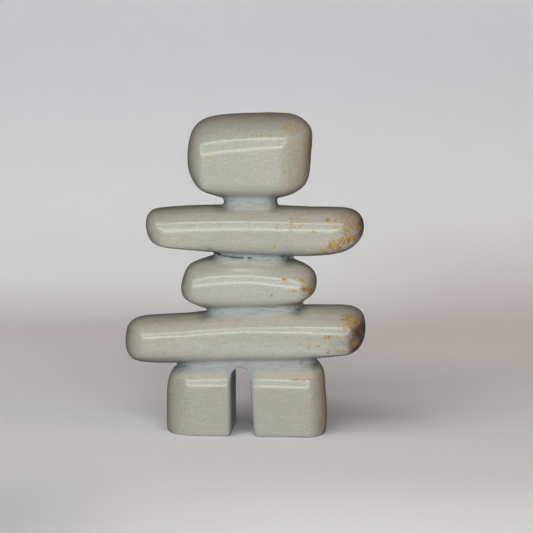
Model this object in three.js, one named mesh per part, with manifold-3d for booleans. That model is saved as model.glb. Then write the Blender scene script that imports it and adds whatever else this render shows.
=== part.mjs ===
// A small inukshuk carved from one block of soapstone: a head, a pair of arms, a belly, a hip
// slab and two legs, left joined by narrow necks where the carver sawed and filed the grooves.
// Millimetres, +Z up, the front faces -Y, and the origin is on the ground under the middle.

import * as THREE from 'three';
import { mergeVertices } from 'three/addons/utils/BufferGeometryUtils.js';
import Module from 'manifold-3d';

// The block was one board, so every stone is close to its thickness.
const BOARD_THICKNESS = 27;

// Each stone has an outline seen from the front, as [x, z] points running counterclockwise, and
// a core, which is the part of its face that stays flat: its edges are rounded from there out.
// The flat ends at a ridge, given by its height at the left end, the middle and the right end of
// the core. A higher squareness gives fuller edges.
const HEAD = {
  outline: [
    [-9.5, 94.9], [2, 94.3], [13.6, 94.9], [19.2, 96.7], [23.7, 100], [25.4, 104.3],
    [26.1, 112.4], [26.6, 120.4], [25.75, 123.3], [22.4, 126.8], [17.2, 128.6], [1.2, 128.8],
    [-11.4, 127.9], [-17.9, 125.9], [-21.45, 122.1], [-23.15, 116], [-23.4, 108],
    [-21.7, 102.4], [-18, 97.9], [-12.9, 95.8],
  ],
  core: { left: -15.5, right: 12.5, bottom: 99.5, ridge: [111.8, 113.4, 114.9] },
  extraThickness: 0,
  squareness: 1.9,
};
const ARMS = {
  outline: [
    [-26.2, 74.4], [-13.5, 73.2], [2, 72.3], [17.3, 71.8], [30.8, 72.1], [38.8, 73.45],
    [43.45, 75.85], [46.4, 79.4], [47.35, 83.9], [46, 88.1], [42.6, 90.5], [36.5, 91.25],
    [26.3, 91.3], [14.2, 91.75], [-8, 91.95], [-23.4, 91.5], [-34, 90.65], [-37.7, 89.9],
    [-39.8, 87.6], [-40.35, 83.8], [-39.6, 80.2], [-37.75, 77.15], [-33.1, 75.4],
  ],
  core: { left: -30.5, right: 33.5, bottom: 76.3, ridge: [81.3, 82.3, 81.8] },
  extraThickness: 0,
  squareness: 2.5,
};
const BELLY = {
  outline: [
    [-16.9, 50.4], [2, 49.7], [21.4, 52.3], [24.4, 54.3], [27.4, 56.6], [28.5, 61.2],
    [27.65, 65], [25.5, 67.3], [19.3, 70.3], [2, 72], [-13.4, 71.6], [-16.9, 70.5],
    [-22.8, 67.9], [-24.75, 64.6], [-26.2, 59.3], [-25.3, 54.9], [-21.4, 52.4],
  ],
  core: { left: -19.3, right: 21, bottom: 55.5, ridge: [59.3, 61, 58.8] },
  extraThickness: -1.5,
  squareness: 2,
};
const HIPS = {
  outline: [
    [-29.8, 27.8], [0, 28.5], [27.2, 30.4], [37.1, 31.8], [42.3, 32.9], [45.5, 34.5],
    [47.7, 38.6], [48.15, 44], [46.9, 48.8], [42.7, 51.5], [33.5, 51.9], [21.4, 51.7],
    [2, 50.2], [-16.6, 48.8], [-23.4, 47.9], [-38.6, 46.95], [-44.4, 46], [-47.75, 43.35],
    [-48.9, 38.5], [-48.8, 33.6], [-46.3, 29.4], [-39.8, 27.9],
  ],
  core: { left: -38, right: 40.6, bottom: 34, ridge: [38.9, 41.9, 40.6] },
  extraThickness: 1,
  squareness: 2,
};
const LEGS = {
  outline: [
    [-31, -1.5], [0, -1.5], [31.2, -1.5], [32.4, 1.2], [32.75, 9.2], [32, 18.3],
    [31.2, 25.9], [27.6, 29.9], [22, 30.4], [0, 30.4], [-22, 29.2], [-27.2, 27.4],
    [-28.9, 26.3], [-31, 23.3], [-32.3, 17.4], [-32.5, 7.3], [-32.3, 1.2],
  ],
  core: { left: -19.2, right: 24.8, bottom: 0.5, ridge: [19.2, 19.1, 18.4] },
  extraThickness: 0,
  squareness: 2,
};

// Each neck left between two stones: the middle of its waist, how much higher its right end is
// than its left, its half width and half depth at the waist, and how high it is and how far it
// spreads on its way into the stones above and below.
const NECKS = [
  { x: 1.8, z: 93.3, rise: 0.6, halfWidth: 10.6, halfDepth: 8.6, height: 9, spread: 2 },
  { x: 2.1, z: 72, rise: -1.2, halfWidth: 14.9, halfDepth: 9, height: 9, spread: 2 },
  { x: 2.8, z: 50.5, rise: 2.2, halfWidth: 18.4, halfDepth: 9.4, height: 9, spread: 2 },
  { x: 1.2, z: 28.7, rise: 1.8, halfWidth: 27.2, halfDepth: 10.2, height: 8, spread: 1.5 },
];
const NECK_SQUARENESS = 3;

// The slot sawn between the legs, round at its crown and eased along its edges. Its foot is
// wider than its crown and stands a little to the right of it.
const SLOT = { x: -1.5, halfWidth: 3.8, crown: 27.4, taper: 0.75, lean: 0.8, edgeRounding: 2 };

// How finely the curves are faceted.
const POINTS_PER_SPAN = 2;
const STONE_STEPS = 6;
const NECK_POINTS = 32;
const NECK_STEPS = 3;
const SLOT_STEPS = 4;
const SLOT_CROWN_POINTS = 12;
const FLAT_CAP_SHARE = 0.12;

// Room for the cutters to pass right through what they cut.
const CLEAR = 10;

const wasm = await Module();
wasm.setup();

// A closed solid through rings of as many points each, which run counterclockwise when seen
// from the last ring's side. flatten gives a point's place in the plane of the two end caps.
function loft(rings, flatten) {
  const count = rings[0].length;
  const faces = [];
  for (let start = 0; start < (rings.length - 1) * count; start += count) {
    for (let i = 0; i < count; i++) {
      const a = start + i;
      const b = start + ((i + 1) % count);
      faces.push(a, b, a + count, b, b + count, a + count);
    }
  }
  for (const [a, b, c] of THREE.ShapeUtils.triangulateShape(rings[0].map(flatten), [])) {
    faces.push(a, c, b);
  }
  const last = (rings.length - 1) * count;
  for (const [a, b, c] of THREE.ShapeUtils.triangulateShape(rings.at(-1).map(flatten), [])) {
    faces.push(last + a, last + b, last + c);
  }
  const geometry = new THREE.BufferGeometry().setFromPoints(rings.flat());
  geometry.setIndex(faces);
  return solidOf(geometry);
}

function solidOf(geometry) {
  geometry.deleteAttribute('normal');
  geometry.deleteAttribute('uv');
  const merged = mergeVertices(geometry);
  return new wasm.Manifold(new wasm.Mesh({
    numProp: 3,
    vertProperties: new Float32Array(merged.attributes.position.array),
    triVerts: new Uint32Array(merged.index.array),
  }));
}

const fromFront = (point) => new THREE.Vector2(point.x, point.z);
const fromAbove = (point) => new THREE.Vector2(point.x, point.y);

// How high the flat of a stone's face reaches at a place along it.
function ridgeHeight({ left, right, ridge }, x) {
  const middle = (left + right) / 2;
  const [from, to, share] = x < middle
    ? [ridge[0], ridge[1], (x - left) / (middle - left)]
    : [ridge[1], ridge[2], (x - middle) / (right - middle)];
  return THREE.MathUtils.lerp(from, to, share);
}

// A stone is its outline drawn in towards its core, ring by ring, from the middle of the board
// to the back and to the front.
function stone({ outline, core, extraThickness, squareness }) {
  const corners = outline.map(([x, z]) => new THREE.Vector3(x, 0, z));
  const curve = new THREE.CatmullRomCurve3(corners, true, 'centripetal');
  const edge = curve.getPoints(outline.length * POINTS_PER_SPAN).slice(0, -1);
  const halfDepth = (BOARD_THICKNESS + extraThickness) / 2;
  const power = 2 / squareness;
  const capTurn = Math.acos(FLAT_CAP_SHARE ** (1 / power));
  const rings = [];
  for (let step = STONE_STEPS; step >= -STONE_STEPS; step--) {
    const turn = (capTurn * Math.abs(step)) / STONE_STEPS;
    const y = Math.sign(step) * halfDepth * (Math.sin(turn) / Math.sin(capTurn)) ** power;
    const share = Math.cos(turn) ** power;
    rings.push(edge.map((point) => {
      const x = THREE.MathUtils.clamp(point.x, core.left, core.right);
      const z = THREE.MathUtils.clamp(point.z, core.bottom, ridgeHeight(core, x));
      return new THREE.Vector3(x + share * (point.x - x), y, z + share * (point.z - z));
    }));
  }
  return loft(rings, fromFront);
}

// A neck is a spool with a hollow side, squarish when seen from above.
function neck({ x, z, rise, halfWidth, halfDepth, height, spread }) {
  const power = 2 / NECK_SQUARENESS;
  const rings = [];
  for (let step = -NECK_STEPS; step <= NECK_STEPS; step++) {
    const turn = (Math.PI / 2) * (step / NECK_STEPS);
    const reach = spread * (1 - Math.cos(turn));
    const ring = [];
    for (let i = 0; i < NECK_POINTS; i++) {
      const angle = (2 * Math.PI * i) / NECK_POINTS;
      const across = Math.sign(Math.cos(angle)) * Math.abs(Math.cos(angle)) ** power;
      const through = Math.sign(Math.sin(angle)) * Math.abs(Math.sin(angle)) ** power;
      ring.push(new THREE.Vector3(
        x + (halfWidth + reach) * across,
        (halfDepth + reach) * through,
        z + (height * Math.sin(turn) + rise * across) / 2,
      ));
    }
    rings.push(ring);
  }
  return loft(rings, fromAbove);
}

// The saw slot's outline, let out by how much its edge is eased. It widens where it meets the
// ground, which eases the inner edges of the feet too.
function slotOutline(ease) {
  const radius = SLOT.halfWidth + ease;
  const foot = radius + SLOT.taper;
  const footX = SLOT.x + SLOT.lean;
  const springing = SLOT.crown - SLOT.halfWidth;
  const shape = new THREE.Shape();
  shape.moveTo(footX - foot - 2 * SLOT.edgeRounding, -SLOT.edgeRounding);
  shape.lineTo(footX + foot + 2 * SLOT.edgeRounding, -SLOT.edgeRounding);
  shape.quadraticCurveTo(footX + foot, -SLOT.edgeRounding / 2, footX + foot, SLOT.edgeRounding);
  shape.lineTo(SLOT.x + radius, springing);
  shape.absarc(SLOT.x, springing, radius, 0, Math.PI);
  shape.lineTo(footX - foot, SLOT.edgeRounding);
  shape.quadraticCurveTo(
    footX - foot,
    -SLOT.edgeRounding / 2,
    footX - foot - 2 * SLOT.edgeRounding,
    -SLOT.edgeRounding,
  );
  return shape.getPoints(SLOT_CROWN_POINTS / 2).slice(0, -1);
}

function slot() {
  const halfDepth = BOARD_THICKNESS / 2;
  const { edgeRounding } = SLOT;
  const places = [{ y: halfDepth + CLEAR, ease: edgeRounding }];
  for (let step = SLOT_STEPS; step >= 0; step--) {
    const turn = (Math.PI / 2) * (step / SLOT_STEPS);
    places.push({
      y: halfDepth - edgeRounding * (1 - Math.sin(turn)),
      ease: edgeRounding * (1 - Math.cos(turn)),
    });
  }
  const mirrored = places.map(({ y, ease }) => ({ y: -y, ease })).reverse();
  const rings = [...places, ...mirrored].map(({ y, ease }) => (
    slotOutline(ease).map((point) => new THREE.Vector3(point.x, y, point.y))
  ));
  return loft(rings, fromFront);
}

// The flat sole that the legs stand on.
function underTheGround() {
  const width = LEGS.outline[2][0] * 2 + CLEAR;
  const box = new THREE.BoxGeometry(width, BOARD_THICKNESS + CLEAR, CLEAR);
  return solidOf(box.translate(0, 0, -CLEAR / 2));
}

const pieces = [
  ...[HEAD, ARMS, BELLY, HIPS, LEGS].map(stone),
  ...NECKS.map(neck),
];
const block = pieces.reduce((joined, piece) => joined.add(piece));
const carving = block.subtract(slot()).subtract(underTheGround());

const { vertProperties, triVerts } = carving.getMesh();
const geometry = new THREE.BufferGeometry();
geometry.setAttribute('position', new THREE.BufferAttribute(vertProperties, 3));
geometry.setIndex(new THREE.BufferAttribute(triVerts, 1));
geometry.computeBoundingBox();
const middle = geometry.boundingBox.getCenter(new THREE.Vector3());
geometry.translate(-middle.x, -middle.y, 0);
geometry.computeVertexNormals();

const soapstone = new THREE.MeshStandardMaterial({
  color: 0xaaaa9c,
  roughness: 0.35,
  metalness: 0,
});

const inukshuk = new THREE.Mesh(geometry, soapstone);
inukshuk.name = 'inukshuk';

const group = new THREE.Group();
group.add(inukshuk);

export default group;
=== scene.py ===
"""A small soapstone inukshuk, carved, sanded and waxed from one board of grey-green stone."""

import math

import bmesh
import bpy
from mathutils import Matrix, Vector
from mathutils import noise


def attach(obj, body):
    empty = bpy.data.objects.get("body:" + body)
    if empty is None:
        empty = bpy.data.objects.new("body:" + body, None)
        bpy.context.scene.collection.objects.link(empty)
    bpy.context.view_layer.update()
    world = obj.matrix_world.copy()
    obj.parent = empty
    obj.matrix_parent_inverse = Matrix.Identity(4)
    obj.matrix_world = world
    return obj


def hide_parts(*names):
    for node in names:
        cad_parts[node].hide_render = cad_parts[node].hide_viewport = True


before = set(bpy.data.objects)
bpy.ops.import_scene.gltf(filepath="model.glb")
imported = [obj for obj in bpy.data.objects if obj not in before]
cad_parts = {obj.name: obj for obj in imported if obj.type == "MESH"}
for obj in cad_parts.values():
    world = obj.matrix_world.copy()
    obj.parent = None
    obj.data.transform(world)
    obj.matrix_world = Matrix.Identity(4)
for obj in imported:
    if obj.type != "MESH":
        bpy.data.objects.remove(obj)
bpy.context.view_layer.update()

# The carving. The sculptor sawed the outline from the board, cut the grooves with a saw and a
# file, rounded every stone with rasps and wet paper, and left all of it joined by the necks.
# The work starts from the blocked-out solid and is smoothed until no tool facet is left.
MM = 0.001
VOXEL_SIZE = 0.62 * MM
WELD_DISTANCE = 0.002 * MM
# Each groove by the middle of its neck, in millimetres, and how its waist rises to the right.
GROOVES = (
    {"x": 2.3, "z": 93.3, "rise": 0.6 / 21.2, "half_width": 10.6},
    {"x": 2.6, "z": 72.0, "rise": -1.2 / 29.8, "half_width": 14.9},
    {"x": 3.3, "z": 50.5, "rise": 2.2 / 36.8, "half_width": 18.4},
    {"x": 1.7, "z": 28.7, "rise": 1.8 / 54.4, "half_width": 27.2},
)
BOARD_HALF = 13.5
SLOT = {"x": -0.6, "half_width": 4.2, "top": 27.4}
SMOOTHING_FACTOR = 0.5
SANDING_ROUNDS = 36
POLISHING_ROUNDS = 6
# From where to where the sanding sets in, away from a groove's waist, a sole and the slot.
SANDED_OFF_GROOVE = (2.2, 5.2)
SANDED_OFF_SOLE = (0.5, 3.2)
SANDED_OFF_SLOT = (6.5, 9.5)
SLOT_MARGIN = 2
HAND_WAVE = 0.25 * MM
HAND_WAVE_SIZE = 24 * MM
# Every noise here runs from 0 to 1 round this middle.
NOISE_MIDDLE = 0.5


def active_only(piece):
    bpy.ops.object.select_all(action="DESELECT")
    piece.select_set(True)
    bpy.context.view_layer.objects.active = piece


def add_modifier(piece, kind, **settings):
    active_only(piece)
    modifier = piece.modifiers.new(kind.title(), kind)
    for name, value in settings.items():
        setattr(modifier, name, value)
    return modifier


def apply_modifier(piece, kind, **settings):
    modifier = add_modifier(piece, kind, **settings)
    bpy.ops.object.modifier_apply(modifier=modifier.name)


def smooth_and_keep_size(piece, rounds, group):
    """Evens the surface, then gives back what the smoothing took off its ends."""
    settings = {"factor": SMOOTHING_FACTOR, "iterations": rounds, "vertex_group": group}
    apply_modifier(piece, "SMOOTH", **settings)
    modifier = add_modifier(piece, "SMOOTH", **settings)
    bpy.ops.object.modifier_apply_as_shapekey(modifier=modifier.name)
    again = piece.data.shape_keys.key_blocks[-1]
    again.slider_min = -1
    again.value = -1
    piece.active_shape_key_index = 0
    bpy.ops.object.shape_key_remove(all=True, apply_mix=True)


def ease(value, start, end):
    """0 at the start and 1 at the end, soft at both."""
    share = min(max((value - start) / (end - start), 0.0), 1.0)
    return share * share * (3 - 2 * share)


def nearest_groove(place):
    """The nearest groove, and how far a point lies above or below its waist."""
    heights = [(place.z - g["z"] - g["rise"] * (place.x - g["x"]), g) for g in GROOVES]
    return min(heights, key=lambda item: abs(item[0]))


def sanding_share(place):
    """How freely the paper reached a place: 0 in a groove, the slot or a sole, 1 outside."""
    height, _ = nearest_groove(place)
    share = min(ease(abs(height), *SANDED_OFF_GROOVE), ease(place.z, *SANDED_OFF_SOLE))
    if place.z < SLOT["top"] + SLOT_MARGIN:
        share = min(share, ease(abs(place.x - SLOT["x"]), *SANDED_OFF_SLOT))
    return share


carving = bpy.data.objects.new("carving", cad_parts["inukshuk"].data.copy())
bpy.context.scene.collection.objects.link(carving)
active_only(carving)
bpy.ops.object.mode_set(mode="EDIT")
bpy.ops.mesh.select_all(action="SELECT")
bpy.ops.mesh.remove_doubles(threshold=WELD_DISTANCE)
bpy.ops.object.mode_set(mode="OBJECT")

apply_modifier(carving, "REMESH", mode="VOXEL", voxel_size=VOXEL_SIZE, use_smooth_shade=True)
sanded = carving.vertex_groups.new(name="sanded")
for vertex in carving.data.vertices:
    sanded.add([vertex.index], sanding_share(vertex.co / MM), "REPLACE")
smooth_and_keep_size(carving, SANDING_ROUNDS, "sanded")
smooth_and_keep_size(carving, POLISHING_ROUNDS, "")
hand_wave = bpy.data.textures.new("hand_wave", "CLOUDS")
hand_wave.noise_scale = HAND_WAVE_SIZE
apply_modifier(carving, "DISPLACE", texture=hand_wave, texture_coords="LOCAL",
               strength=HAND_WAVE, mid_level=NOISE_MIDDLE, vertex_group="sanded")

# The thin straight cuts that the saw left at the bottom of the second groove. Each one by its
# left and right end as x and z, its thickness, and the y it reaches back to, in millimetres.
KERFS = (
    ((-12.8, 73.9), (-9.2, 72.5), 0.9, -3.0),
    ((-9.6, 72.3), (-5.6, 72.0), 0.35, -6.5),
    ((-5.3, 71.7), (-0.1, 71.5), 0.5, -6.9),
    ((2.0, 71.5), (3.1, 71.5), 0.5, -6.9),
    ((15.2, 71.9), (18.6, 72.5), 0.6, -5.5),
)
KERF_FRONT = -16.0
SHARP_EDGE = math.radians(50)

for (left, low), (right, high), thickness, back in KERFS:
    middle = Vector((left + right, KERF_FRONT + back, low + high)) / 2
    bpy.ops.mesh.primitive_cube_add(
        size=1,
        location=middle * MM,
        rotation=(0, -math.atan2(high - low, right - left), 0),
    )
    blade = bpy.context.object
    blade.scale = (
        math.hypot(right - left, high - low) * MM,
        (back - KERF_FRONT) * MM,
        thickness * MM,
    )
    apply_modifier(carving, "BOOLEAN", operation="DIFFERENCE", object=blade, solver="MANIFOLD")
    bpy.data.objects.remove(blade)
active_only(carving)
bpy.ops.object.shade_smooth_by_angle(angle=SHARP_EDGE)

# What wear, wax and the stone itself left on the surface, and some painted light and shade, is
# painted on the carving point by point, as shares from 0 to 1. Rust grains sit in loose clusters,
# most of them to the right.
# Each cluster: its middle as x and z, its half width and half height, and how dense it is.
RUST_CLUSTERS = (
    # The head's upper right corner, the thin streak beside it, and the face below.
    (18.4, 122.6, 4.2, 2.8, 0.50), (9.2, 119.9, 5.0, 0.45, 0.58), (20.5, 107.5, 6.5, 6.5, 0.30),
    (-14.4, 111.2, 3.2, 2.0, 0.34), (25.2, 115.5, 1.8, 4.0, 0.42), (19.0, 118.0, 4.0, 3.0, 0.32),
    # The arm's right end, its bow of dense grains, and the scatter on its way to the middle.
    (31.9, 74.9, 2.2, 1.6, 0.72), (36.4, 76.6, 3.2, 1.9, 0.84), (40.6, 78.9, 2.6, 1.5, 0.95),
    (43.6, 79.9, 1.6, 1.2, 0.85), (42.0, 82.5, 2.4, 2.6, 0.60), (39.8, 86.0, 5.0, 2.8, 0.52),
    (45.6, 83.5, 1.5, 1.2, 1.0), (36.9, 79.4, 1.6, 1.3, 0.62), (22.0, 85.4, 5.4, 2.6, 0.44),
    (28.0, 82.6, 1.7, 0.8, 0.75), (33.9, 87.0, 1.1, 0.9, 0.85), (14.2, 83.8, 1.2, 0.8, 0.55),
    (12.8, 76.4, 1.4, 1.6, 0.50), (19.6, 84.8, 1.6, 3.2, 0.55), (38.0, 83.6, 2.2, 1.2, 0.62),
    # The belly's right end.
    (16.5, 63.3, 1.3, 0.6, 0.92), (23.5, 63.0, 1.1, 0.8, 0.85), (24.9, 59.5, 1.9, 0.9, 0.95),
    (27.1, 58.2, 1.0, 1.6, 1.0), (20.4, 58.8, 1.1, 0.9, 0.90), (11.8, 56.9, 0.8, 0.8, 0.75),
    (12.9, 67.2, 1.4, 0.6, 0.40), (25.5, 61.3, 2.0, 1.6, 0.45),
    # The hip slab's right end.
    (41.6, 47.9, 3.2, 1.4, 0.70), (43.9, 46.0, 3.0, 1.0, 0.80), (41.2, 44.3, 1.4, 0.7, 0.92),
    (34.2, 40.7, 1.7, 0.9, 1.0), (37.0, 41.3, 1.6, 0.5, 0.60), (26.6, 36.8, 1.1, 0.6, 0.75),
    (30.2, 37.2, 1.6, 0.5, 0.60), (36.0, 37.1, 0.9, 0.7, 0.70), (34.3, 34.8, 1.0, 0.8, 0.85),
    (39.2, 35.2, 2.8, 0.6, 0.62), (10.2, 36.8, 0.9, 0.5, 0.42), (44.8, 37.8, 1.6, 1.0, 0.7),
    # The legs.
    (23.0, 23.2, 4.2, 0.6, 0.68), (15.0, 13.8, 1.1, 0.7, 0.62), (14.0, 26.0, 0.8, 0.6, 0.45),
    (15.4, 4.2, 1.8, 0.7, 0.42), (25.7, 3.7, 1.2, 0.8, 0.45), (31.0, 5.6, 0.9, 1.6, 0.62),
)
# Clusters beyond this x run right through the stone, and the others fade behind the face.
RUST_THROUGH = 30.0
RUST_FADES = (-6, 2)
# How far out a cluster is reckoned, as a squared distance, and how sharply it thins out.
RUST_REACH = 6
RUST_SHARPNESS = 0.55
# On the back the grains thicken to the right: how dense, how cloudy, and where that sets in.
BACK_RUST_DENSITY = 0.5
BACK_RUST_SIZE = 9
BACK_RUST_DRIFT = 8
BACK_RUST_DEPTH = (0, 8)
BACK_RUST_SIDE = (10, 42)
BACK_RUST_CLOUDS = (-0.1, 0.4)
# Brown and reddish stain in the stone, painted brown shade on the head's top, and browner left
# ends of the hip slab and the arm, as ellipsoids: middle, half sizes and strength.
STAINS_AND_SHADE = (
    ((45.8, -5, 39.5), (4.4, 14, 7.5), 1.1),
    ((42.0, -8, 36.5), (6.5, 8, 5.0), 0.38),
    ((47.2, 0, 84.0), (3.2, 12, 5.5), 0.80),
    ((43.5, -6, 86.5), (7.0, 10, 5.5), 0.30),
    ((26.8, 0, 112.0), (2.3, 12, 11.0), 0.45),
    # The head's top: painted brown shade.
    ((12.0, -6, 127.5), (26.0, 10, 3.5), 0.16),
    ((28.4, 0, 61.5), (2.4, 9, 4.0), 0.35),
    # The left ends of the hip slab and the arm: darker and browner.
    ((-48.0, 0, 38.0), (3.4, 12, 8.0), 0.24),
    ((-37.5, 0, 82.0), (4.0, 12, 8.0), 0.12),
)
STAIN_AND_SHADE_GAIN = 1.8
# Paler, bluer stone on the face of the belly and low on the slab, in the same form.
PALE_PATCHES = (
    ((3, -13, 58), (27, 12, 8), 0.60),
    ((0, -13, 35.0), (44, 12, 5), 0.70),
    ((-22, -13, 25.0), (9, 12, 3), 0.60),
)
# How much painted light browns and pales the upper side of each stone: up to which height, how
# much on the left, and how much on the right, with the change between the two x that follow.
TOP_LIGHT = ((30, 0.8, 0.9), (52, 0.95, 0.3), (74, 0.3, 0.3), (95, 0.35, 0.9), (130, 0.0, 0.0))
TOP_LIGHT_SIDES = (10, 40)
# Parts of the normal between which a side begins to count as facing that way.
FACING_UP = (0.25, 0.8)
FACING_FRONT_OR_BACK = (0.25, 0.8)
# Dust sets in or ends over these distances: from a waist, inward from a neck's end, and inward
# from the face of the board.
DUST_HEIGHT = (0.8, 4.0)
DUST_END = (-4, 1)
DUST_DEPTH = (0.6, 3.0)
# Painted shade ends over this distance from a waist, and lies in a band past each neck's end. It
# also reaches a little beyond every saw cut.
SHADE_HEIGHT = (1.2, 4.8)
SHADE_MIDDLE = 0.6
SHADE_SPREAD = 2.8
KERF_SHADE = 0.7
# How far sawn stone reaches above the slot, and where it ends to either side of it.
SAWN_MARGIN = 1.2
SAWN_EDGE = (0.5, 1.8)


def past_neck(place, groove):
    """How far a point lies sideways beyond a neck's end."""
    return abs(place.x - groove["x"]) - groove["half_width"]


def dust_share(place, _):
    """Pale stone dust that was never waxed, on each neck and into its fillets."""
    height, groove = nearest_groove(place)
    along = ease(-past_neck(place, groove), *DUST_END)
    inward = ease(BOARD_HALF - abs(place.y), *DUST_DEPTH)
    return (1 - ease(abs(height), *DUST_HEIGHT)) * along * inward


def neck_shade_share(place, _):
    """Painted shade round both ends of each neck and in the saw cuts, the hollows where shade
    falls.
    """
    height, groove = nearest_groove(place)
    beyond = (past_neck(place, groove) - SHADE_MIDDLE) / SHADE_SPREAD
    painted_shade = math.exp(-beyond ** 2) * (1 - ease(abs(height), *SHADE_HEIGHT))
    if place.y >= 0:
        return painted_shade
    for (left, low), (right, high), thickness, _ in KERFS:
        along = min(max((place.x - left) / (right - left), 0.0), 1.0)
        sideways = place.x - left - along * (right - left)
        upward = place.z - low - along * (high - low)
        away = math.hypot(sideways, upward) - thickness / 2
        painted_shade = max(painted_shade, 1 - ease(away, 0, KERF_SHADE))
    return painted_shade


def top_light_share(place, normal):
    """Painted light on the sides that face up, which makes them paler and browner."""
    left, right = next((left, right) for top, left, right in TOP_LIGHT if place.z < top)
    strength = left + (right - left) * ease(place.x, *TOP_LIGHT_SIDES)
    return strength * ease(normal.z, *FACING_UP)


def side_shade_share(place, normal):
    """Painted shade: the sides that face neither front nor back, a little browner."""
    return (1 - ease(abs(normal.y), *FACING_FRONT_OR_BACK)) * sanding_share(place)


def slot_share(place, _):
    """The sawn walls of the slot between the legs, painted darker as well for the shade there."""
    if place.z > SLOT["top"] + SAWN_MARGIN:
        return 0.0
    return 1 - ease(abs(place.x - SLOT["x"]) - SLOT["half_width"], *SAWN_EDGE)


def rust_share(place, _):
    """How dense the rust grains are."""
    density = 0.0
    for x, z, wide, high, strength in RUST_CLUSTERS:
        across = (place.x - x) / wide
        up = (place.z - z) / high
        reach = across * across + up * up
        if reach < RUST_REACH:
            through = 1.0 if x > RUST_THROUGH else 1 - ease(place.y, *RUST_FADES)
            fading = math.exp(-RUST_SHARPNESS * reach * reach)
            density = max(density, strength * through * fading)
    grain = noise.noise(place / BACK_RUST_SIZE)
    side = ease(place.x + BACK_RUST_DRIFT * grain, *BACK_RUST_SIDE)
    behind = ease(place.y, *BACK_RUST_DEPTH) * side
    return max(density, BACK_RUST_DENSITY * behind * ease(grain, *BACK_RUST_CLOUDS))


def patch_share(place, patches):
    """The strongest of some soft-edged patches at a point."""
    share = 0.0
    for middle, size, strength in patches:
        reach = sum(((p - m) / s) ** 2 for p, m, s in zip(place, middle, size))
        share = max(share, strength * math.exp(-reach))
    return share


def stain_and_shade_share(place, _):
    return min(patch_share(place, STAINS_AND_SHADE) * STAIN_AND_SHADE_GAIN, 1.0)


def pale_share(place, _):
    return patch_share(place, PALE_PATCHES)


for name, share_of in (
    ("dust", dust_share), ("painted_shade", neck_shade_share), ("sawn", slot_share), ("rust", rust_share),
    ("stain_and_shade", stain_and_shade_share), ("pale", pale_share), ("top_light", top_light_share), ("side_shade", side_shade_share),
):
    layer = carving.data.attributes.new(name, "FLOAT", "POINT")
    shares = [share_of(v.co / MM, v.normal) for v in carving.data.vertices]
    layer.data.foreach_set("value", shares)

# Soapstone: a soft mottle of grey and green, browner at the sides by painted shade and paler on
# top by painted light, with fine speckle, long marks of the sanding paper, and a thin coat of wax
# except in grooves and slot.


class Value:
    """One output in a shader, which can be reckoned with like a number."""

    def __init__(self, tree, socket=None):
        self.tree = tree
        self.socket = socket

    def node(self, kind, inputs, output=0, **settings):
        """Adds a node, makes its settings, then fills its sockets with values or links."""
        node = self.tree.nodes.new(kind)
        for name, value in settings.items():
            setattr(node, name, value)
        for name, value in inputs.items():
            if isinstance(value, Value):
                self.tree.links.new(value.socket, node.inputs[name])
            else:
                node.inputs[name].default_value = value
        return Value(self.tree, node.outputs[output])

    def math(self, operation, *values):
        return self.node("ShaderNodeMath", dict(enumerate(values)), operation=operation)

    def __add__(self, other):
        return self.math("ADD", self, other)

    def __sub__(self, other):
        return self.math("SUBTRACT", self, other)

    def __rsub__(self, other):
        return self.math("SUBTRACT", other, self)

    def __mul__(self, other):
        return self.math("MULTIPLY", self, other)

    def __truediv__(self, other):
        return self.math("DIVIDE", self, other)

    __radd__ = __add__
    __rmul__ = __mul__

    def ease(self, start, end, low=0.0, high=1.0):
        """Goes softly from low to high while this value goes from start to end."""
        limits = {"Value": self, "From Min": start, "From Max": end, "To Min": low, "To Max": high}
        return self.node("ShaderNodeMapRange", limits, interpolation_type="SMOOTHSTEP")

    def blend(self, off, on):
        """One colour where this value is 0 and another where it is 1."""
        # The colour sockets go by number, because their names are those of the other sockets.
        return self.node("ShaderNodeMix", {0: self, 6: off, 7: on}, output=2, data_type="RGBA")

    def stretched(self, factors):
        return self.node("ShaderNodeVectorMath", {0: self, 1: factors}, operation="MULTIPLY")

    def noise(self, size, detail=3.0, roughness=0.5):
        """Cloudy noise whose blobs are about as wide as size, over this place."""
        sockets = {"Vector": self, "Scale": 1 / size, "Detail": detail, "Roughness": roughness}
        return self.node("ShaderNodeTexNoise", sockets)


GREY_STONE = (0.298, 0.272, 0.238, 1)
GREEN_STONE = (0.278, 0.276, 0.238, 1)
PALE_STONE = (0.345, 0.340, 0.318, 1)
PALE_GRAIN = (0.385, 0.365, 0.325, 1)
DARK_GRAIN = (0.200, 0.188, 0.158, 1)
SIDE_SHADE_STONE = (0.312, 0.258, 0.216, 1)
TOP_LIT_STONE = (0.408, 0.370, 0.314, 1)
DUSTY_STONE = (0.268, 0.280, 0.272, 1)
SCRATCHED_STONE = (0.185, 0.198, 0.198, 1)
PAINTED_SHADE_STONE = (0.080, 0.088, 0.088, 1)
SAWN_SHADED_STONE = (0.225, 0.230, 0.242, 1)
PALE_OCHRE = (0.390, 0.290, 0.130, 1)
RUST_BROWN = (0.180, 0.100, 0.015, 1)
RUST_OCHRE = (0.335, 0.190, 0.026, 1)
STAIN_AND_SHADE_BROWN = (0.084, 0.036, 0.028, 1)
WAX_ROUGHNESS = 0.18
WAX_IOR = 1.45
WAX_ON_RUST = 0.35
STONE_SPECULAR = 0.5
STONE_ROUGHNESS = 0.42
DRY_ROUGHNESS = 0.75
GRAIN_ROUGHNESS = 0.10
# How deep the finest marks are, and how much each kind takes of that.
RELIEF = 0.06 * MM
SPECKLE_RELIEF = 0.25
PAPER_RELIEF = 0.25
FILE_RELIEF = 1.6
SAW_RELIEF = 1.2
RUST_RELIEF = 0.35
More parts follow.
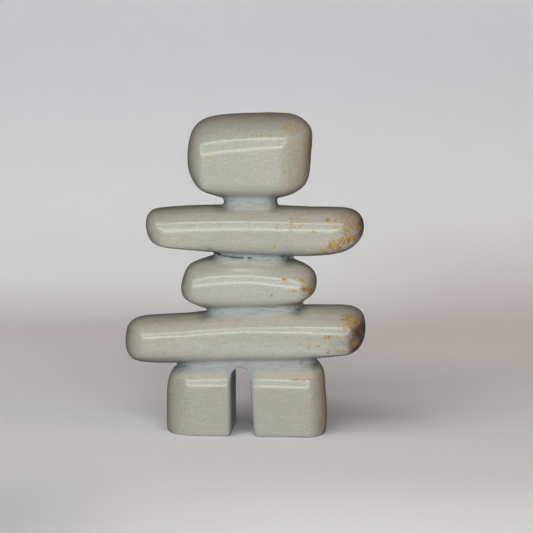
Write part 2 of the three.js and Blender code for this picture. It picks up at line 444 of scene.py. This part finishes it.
# From where to where a noise or a painted share sets in.
MOTTLE_RANGE = (0.38, 0.62)
RUST_HUES = (0.38, 0.60)
FILE_SCRATCHES = (0.36, 0.54)
DRY_RANGE = (0.0, 0.8)
WAX_RANGE = (0.0, 0.7)
# The same, with the share at either end.
STAIN_AND_SHADE_CLOUDS = (0.30, 0.62, 0.60, 1.0)
DUST_CLOUDS = (0.30, 0.55, 0.65, 1.0)
SHADE_CLOUDS = (0.34, 0.60, 0.55, 1.0)
SAW_CLOUDS = (0.25, 0.60, 1.0, 0.72)
# How strongly a painted share tints the stone, and how its density turns into single grains.
SIDE_SHADE_STRENGTH = 0.8
SHADE_STRENGTH = 0.75
RUST_HALO = 0.30
RUST_COVER = 0.95
RUST_THRESHOLD = 0.46
RUST_GRAIN_GAIN = 2.8
RUST_SOFTNESS = 0.40

stone = bpy.data.materials.new("waxed_soapstone")
stone.use_nodes = True
shader = stone.node_tree.nodes["Principled BSDF"]
start = Value(stone.node_tree)
in_metres = start.node("ShaderNodeTexCoord", {}, output="Object")
place = in_metres.stretched((1 / MM, 1 / MM, 1 / MM))


def painted(name):
    return start.node("ShaderNodeAttribute", {}, output=2, attribute_name=name)


dust = painted("dust")
painted_shade = painted("painted_shade")
sawn = painted("sawn")
rust = painted("rust")
stain_and_shade = painted("stain_and_shade")
pale = painted("pale")
top_light = painted("top_light")
side_shade = painted("side_shade")

mottle = place.noise(size=11, detail=4.0, roughness=0.55)
speckle = place.noise(size=0.9, detail=2.0, roughness=0.6)
pepper = place.stretched((1, 1, 1.3)).noise(size=0.55, detail=1.0)
paper_marks = place.stretched((0.12, 0.12, 1)).noise(size=0.5, detail=2.0)
file_marks = place.stretched((0.09, 0.5, 1)).noise(size=0.55, detail=3.0, roughness=0.65)
saw_marks = place.stretched((1, 1.4, 0.12)).noise(size=0.7, detail=3.0, roughness=0.6)
stain_and_shade_clouds = place.noise(size=3.2, detail=4.0, roughness=0.65)
rust_grain = place.stretched((0.8, 1, 1.15)).noise(size=0.72, detail=3.0, roughness=0.65)
rust_hue = place.noise(size=1.1, detail=2.0)
shade_clouds = place.noise(size=2.4, detail=2.0, roughness=0.5)

colour = mottle.ease(*MOTTLE_RANGE).blend(GREY_STONE, GREEN_STONE)
colour = pale.blend(colour, PALE_STONE)
# Painted shade: browner on the sides that face neither front nor back.
colour = (side_shade * SIDE_SHADE_STRENGTH).blend(colour, SIDE_SHADE_STONE)
# Painted light: paler and browner on the sides that face up.
colour = top_light.blend(colour, TOP_LIT_STONE)
# Each fine mark: its noise, from where to where it sets in, how strong it gets, its colour.
for marks, start_at, full_at, strength, tint in (
    (speckle, 0.54, 0.74, 0.60, PALE_GRAIN),
    (speckle, 0.46, 0.28, 0.50, DARK_GRAIN),
    (pepper, 0.60, 0.74, 0.14, DARK_GRAIN),
    (paper_marks, 0.54, 0.74, 0.45, PALE_GRAIN),
    (paper_marks, 0.46, 0.26, 0.25, DARK_GRAIN),
):
    colour = (marks.ease(start_at, full_at) * strength).blend(colour, tint)
# Stains, painted brown shade on the head's top, and darker left ends.
colour = (stain_and_shade * stain_and_shade_clouds.ease(*STAIN_AND_SHADE_CLOUDS)).blend(colour, STAIN_AND_SHADE_BROWN)
colour = (rust * RUST_HALO).blend(colour, PALE_OCHRE)
rust_level = rust - RUST_THRESHOLD + (rust_grain - NOISE_MIDDLE) * RUST_GRAIN_GAIN
rusted = (rust_level / RUST_SOFTNESS).ease(0.0, 1.0) * RUST_COVER
rust_colour = rust_hue.ease(*RUST_HUES).blend(RUST_BROWN, RUST_OCHRE)
colour = rusted.blend(colour, rust_colour)
filed = file_marks.ease(*FILE_SCRATCHES).blend(SCRATCHED_STONE, DUSTY_STONE)
colour = (dust * speckle.ease(*DUST_CLOUDS)).blend(colour, filed)
# Painted shade, nearly black, round the ends of the necks and in the saw cuts.
shade_mask = painted_shade * shade_clouds.ease(*SHADE_CLOUDS) * SHADE_STRENGTH
colour = shade_mask.blend(colour, PAINTED_SHADE_STONE)
# The sawn walls: dull unwaxed stone, also painted darker and bluer for the shade in the slot.
colour = (sawn * saw_marks.ease(*SAW_CLOUDS)).blend(colour, SAWN_SHADED_STONE)

unwaxed = dust.math("MAXIMUM", dust, sawn)
grain_roughness = (speckle - NOISE_MIDDLE) * GRAIN_ROUGHNESS
roughness = unwaxed.ease(*DRY_RANGE, STONE_ROUGHNESS, DRY_ROUGHNESS) + grain_roughness
wax = (1 - unwaxed.ease(*WAX_RANGE)) * rusted.ease(0.0, 1.0, 1.0, WAX_ON_RUST)
relief = (
    speckle * SPECKLE_RELIEF
    + paper_marks * PAPER_RELIEF
    + dust * file_marks * FILE_RELIEF
    + sawn * saw_marks * SAW_RELIEF
    - rusted * RUST_RELIEF
)
normal = relief.node("ShaderNodeBump", {"Strength": 1.0, "Distance": RELIEF, "Height": relief})

for name, value in (
    ("Base Color", colour), ("Roughness", roughness), ("Coat Weight", wax), ("Normal", normal),
):
    stone.node_tree.links.new(value.socket, shader.inputs[name])
shader.inputs["Specular IOR Level"].default_value = STONE_SPECULAR
shader.inputs["Coat Roughness"].default_value = WAX_ROUGHNESS
shader.inputs["Coat IOR"].default_value = WAX_IOR
carving.data.materials.clear()
carving.data.materials.append(stone)

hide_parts("inukshuk")
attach(carving, "root")

# Plain pale floor and backdrop, one sheet of paper that rises in a very wide bend, so that
# nothing stands between the carving and someone who looks at its back.
FLOOR_FRONT = -1.2
FLOOR_BACK = 0.30
FLOOR_HALF_WIDTH = 1.6
WALL_TOP = 1.4
BEND_RADIUS = 0.9
BEND_STEPS = 32
PAPER_ROUGHNESS = 0.9
# The paper's colours, with painted light and shade among them.
PLAIN_PAPER = (0.57, 0.55, 0.565, 1)
PAPER_SHADE = (0.425, 0.415, 0.445, 1)
WARM_PAPER = (0.680, 0.625, 0.620, 1)
FAR_PAPER = (0.90, 0.880, 0.91, 1)
TOP_PAPER = (0.73, 0.72, 0.775, 1)
PINK_PAPER_SHADE = (0.68, 0.590, 0.590, 1)
PAPER_LIGHT_POOL = (0.66, 0.64, 0.655, 1)

bpy.ops.mesh.primitive_plane_add(size=1)
floor = bpy.context.object
floor.name = "floor"
sheet = bmesh.new()
profile = [(FLOOR_FRONT, 0.0)]
for step in range(BEND_STEPS + 1):
    turn = math.radians(90 * step / BEND_STEPS)
    profile.append((
        FLOOR_BACK + BEND_RADIUS * math.sin(turn),
        BEND_RADIUS * (1 - math.cos(turn)),
    ))
profile.append((FLOOR_BACK + BEND_RADIUS, WALL_TOP))
rows = []
for y, z in profile:
    rows.append([
        sheet.verts.new((-FLOOR_HALF_WIDTH, y, z)),
        sheet.verts.new((FLOOR_HALF_WIDTH, y, z)),
    ])
for low, high in zip(rows, rows[1:]):
    sheet.faces.new((low[0], low[1], high[1], high[0]))
sheet.to_mesh(floor.data)
sheet.free()
active_only(floor)
bpy.ops.object.shade_smooth()
paper = bpy.data.materials.new("pale_paper")
paper.use_nodes = True
paper_shader = paper.node_tree.nodes["Principled BSDF"]
paper_shader.inputs["Roughness"].default_value = PAPER_ROUGHNESS
# The paper's colour carries painted light and shade: warmer where it starts to rise, paler far
# back to make up for the light that falls off there, less pale high on the wall, pinker painted
# shade to the right, a painted pool of light at the front right and painted shade at the front
# left. Each row: the zone by where it sets in, how strong it gets, and its colour.
sheet_start = Value(paper.node_tree)
spot = sheet_start.node("ShaderNodeTexCoord", {}, output="Object")
sideways = spot.node("ShaderNodeSeparateXYZ", {0: spot}, output="X")
backward = spot.node("ShaderNodeSeparateXYZ", {0: spot}, output="Y")
right_shade = sideways.ease(0.0, 0.12) * backward.ease(0.05, 0.30) * backward.ease(0.60, 0.36)
paper_colour = PLAIN_PAPER
for zone, strength, tint in (
    (backward.ease(0.05, 0.30), 1.0, WARM_PAPER),
    (backward.ease(0.25, 0.45), 1.0, FAR_PAPER),
    (backward.ease(0.50, 0.85), 1.0, TOP_PAPER),
    (right_shade, 0.6, PINK_PAPER_SHADE),
    (sideways.ease(-0.05, 0.04) * backward.ease(-0.06, -0.16), 1.0, PAPER_LIGHT_POOL),
    (sideways.ease(-0.02, -0.07) * backward.ease(-0.04, -0.16), 0.8, PAPER_SHADE),
):
    paper_colour = (zone * strength).blend(paper_colour, tint)
paper.node_tree.links.new(paper_colour.socket, paper_shader.inputs["Base Color"])
floor.data.materials.append(paper)
floor.visible_glossy = False

# The camera stands where the photograph was taken from, a little to the right of the middle and
# above the head, with a long lens.
CAMERA_AZIMUTH = math.radians(4.3)
CAMERA_DISTANCE = 0.740
CAMERA_HEIGHT = 0.150
AIM_SIDE = 0.00863
AIM_HEIGHT = 0.067
LENS = 124.95

aim = Vector((
    AIM_SIDE * math.cos(CAMERA_AZIMUTH),
    AIM_SIDE * math.sin(CAMERA_AZIMUTH),
    AIM_HEIGHT,
))
eye = Vector((
    aim.x + CAMERA_DISTANCE * math.sin(CAMERA_AZIMUTH),
    aim.y - CAMERA_DISTANCE * math.cos(CAMERA_AZIMUTH),
    CAMERA_HEIGHT,
))
camera = bpy.data.objects.new("camera", bpy.data.cameras.new("camera"))
camera.data.lens = LENS
camera.location = eye
camera.rotation_euler = (aim - eye).to_track_quat("-Z", "Y").to_euler()
bpy.context.scene.collection.objects.link(camera)
bpy.context.scene.camera = camera

# The lights: a wide panel in front, which shows on the wax as a loop because its rim is much
# brighter than its middle, and soft lights in front and at the right that show nowhere.
# Azimuths and elevations are in degrees, distances and sizes in metres.
WINDOW_AZIMUTH = -8
WINDOW_LOW = 6
WINDOW_HIGH = 37
WINDOW_DISTANCE = 1.25
WINDOW_WIDTH = 1.5
WINDOW_RADIANCE = 0.8
RIM_WIDTH = 0.08
RIM_RADIANCE = 12.5
RIM_AHEAD = 0.01
WINDOW_TINT = (0.95, 1.0, 0.92)
FRONT_SIZE = (1.1, 0.28)
FRONT_RADIANCE = 8.6
FRONT_TINT = (0.90, 0.97, 1.08)
RIGHT_SIZE = (0.6, 0.6)
RIGHT_RADIANCE = 2.0
RIGHT_TINT = (1.2, 0.93, 0.60)
OVERHEAD_SIZE = (0.6, 0.6)
OVERHEAD_POWER = 4.4
OVERHEAD_TINT = (1.0, 0.985, 0.995)
ROOM_TINT = (1.0, 0.93, 0.86, 1)
ROOM_STRENGTH = 0.02


def area_light(name, azimuth, elevation, distance, size, power, colour):
    """A rectangular light that faces the carving, placed round it as a camera is."""
    turn = math.radians(azimuth)
    rise = math.radians(elevation)
    toward = Vector((
        math.sin(turn) * math.cos(rise),
        -math.cos(turn) * math.cos(rise),
        math.sin(rise),
    ))
    light = bpy.data.objects.new(name, bpy.data.lights.new(name, "AREA"))
    light.data.shape = "RECTANGLE"
    light.data.size = size[0]
    light.data.size_y = size[1]
    light.data.energy = power
    light.data.color = colour
    middle = Vector((0, 0, AIM_HEIGHT))
    light.location = middle + toward * distance
    light.rotation_euler = toward.to_track_quat("Z", "Y").to_euler()
    bpy.context.scene.collection.objects.link(light)
    return light


def radiant_power(radiance, size):
    """The power that gives a rectangular light an even radiance."""
    return radiance * math.pi * size[0] * size[1]


window_middle = (WINDOW_LOW + WINDOW_HIGH) / 2
window_height = 2 * WINDOW_DISTANCE * math.tan(math.radians(WINDOW_HIGH - WINDOW_LOW) / 2)
pane = (WINDOW_WIDTH, window_height)
bar = (WINDOW_WIDTH, RIM_WIDTH)
post = (RIM_WIDTH, window_height)
window = area_light("window", WINDOW_AZIMUTH, window_middle, WINDOW_DISTANCE, pane,
                    radiant_power(WINDOW_RADIANCE, pane), WINDOW_TINT)
window_axes = window.rotation_euler.to_matrix()
for name, size, across, up in (
    ("rim_top", bar, 0, 1), ("rim_bottom", bar, 0, -1),
    ("rim_left", post, -1, 0), ("rim_right", post, 1, 0),
):
    rim = area_light(name, WINDOW_AZIMUTH, window_middle, WINDOW_DISTANCE - RIM_AHEAD, size,
                     radiant_power(RIM_RADIANCE, size), WINDOW_TINT)
    rim.location += window_axes @ Vector((across * WINDOW_WIDTH / 2, up * window_height / 2, 0))

front = area_light("front", azimuth=0, elevation=5, distance=1.3, size=FRONT_SIZE,
                   power=radiant_power(FRONT_RADIANCE, FRONT_SIZE), colour=FRONT_TINT)
front.visible_glossy = False
right_light = area_light("right", azimuth=72, elevation=15, distance=1.2, size=RIGHT_SIZE,
                         power=radiant_power(RIGHT_RADIANCE, RIGHT_SIZE), colour=RIGHT_TINT)
right_light.visible_glossy = False
# The light from the upper left falls on the paper alone, and casts the carving's soft shadow.
overhead = area_light("overhead", azimuth=-50, elevation=60, distance=1.2, size=OVERHEAD_SIZE,
                      power=OVERHEAD_POWER, colour=OVERHEAD_TINT)
paper_only = bpy.data.collections.new("paper_only")
bpy.context.scene.collection.children.link(paper_only)
paper_only.objects.link(floor)
overhead.light_linking.receiver_collection = paper_only

world = bpy.data.worlds.new("room")
world.use_nodes = True
world.node_tree.nodes["Background"].inputs["Color"].default_value = ROOM_TINT
world.node_tree.nodes["Background"].inputs["Strength"].default_value = ROOM_STRENGTH
bpy.context.scene.world = world
bpy.context.scene.view_settings.view_transform = "Standard"
